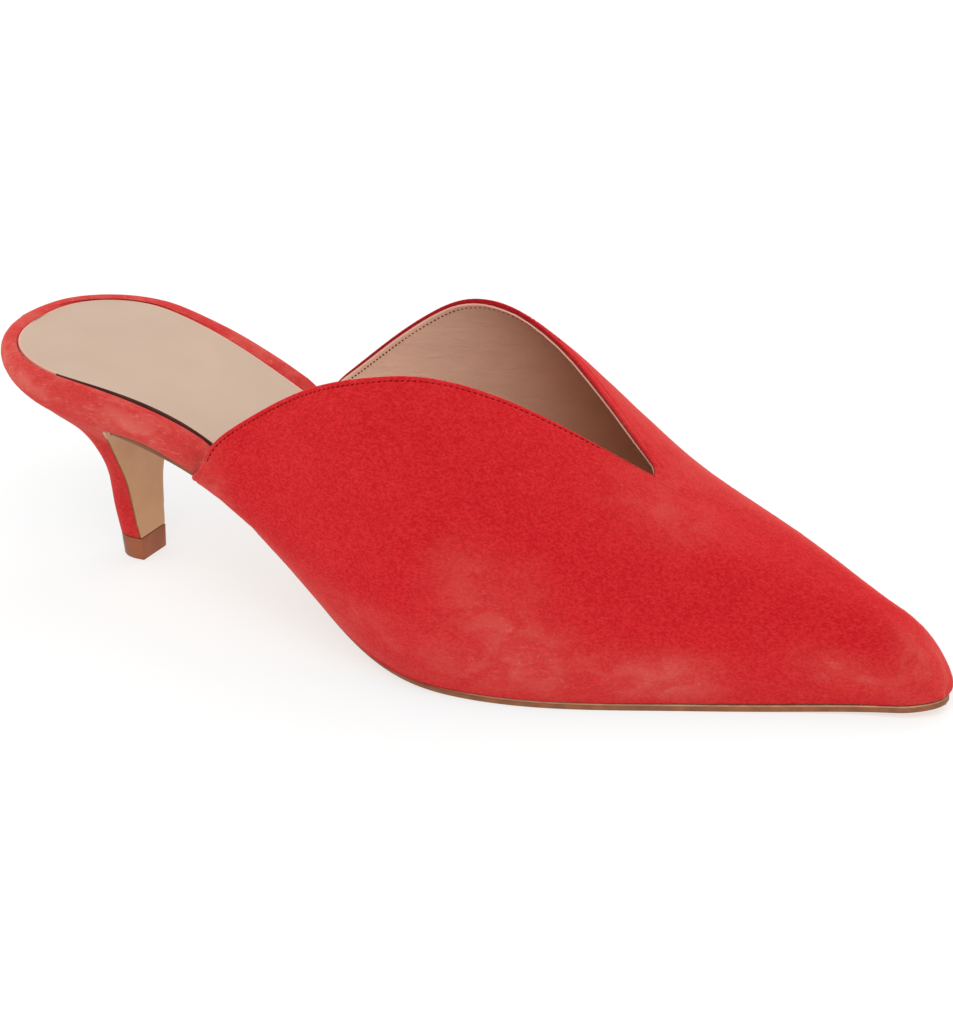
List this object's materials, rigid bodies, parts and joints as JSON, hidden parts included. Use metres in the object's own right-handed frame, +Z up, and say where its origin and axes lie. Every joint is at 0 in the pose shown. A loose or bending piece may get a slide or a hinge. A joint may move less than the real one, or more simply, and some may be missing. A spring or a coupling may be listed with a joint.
{
  "type": "kitten heel mule",
  "caption": "Open-backed right shoe with a pointed toe, a V-cut suede vamp, a soft wrapped seat, a thin sole and a low slim heel.",
  "frame": {"origin": "middle of the top piece's underside, on the floor under the heel", "axes": "+X from the heel to the toe, +Y to the inner side where the big toe lies, +Z up"},
  "size_m": [0.2603, 0.085, 0.074],
  "materials": {
    "red_suede": "brushed suede, soft short nap",
    "sock_leather": "smooth, satin",
    "sole_leather": "smooth, painted brown edge",
    "top_piece_resin": "moulded, satin"
  },
  "bodies": {
    "root": {"upper": "red_suede", "outsole": "sole_leather", "footbed": "red_suede", "sock": "sock_leather", "heel": "red_suede", "breast_cover": "sole_leather", "top_piece": "top_piece_resin"}
  },
  "joints": []
}
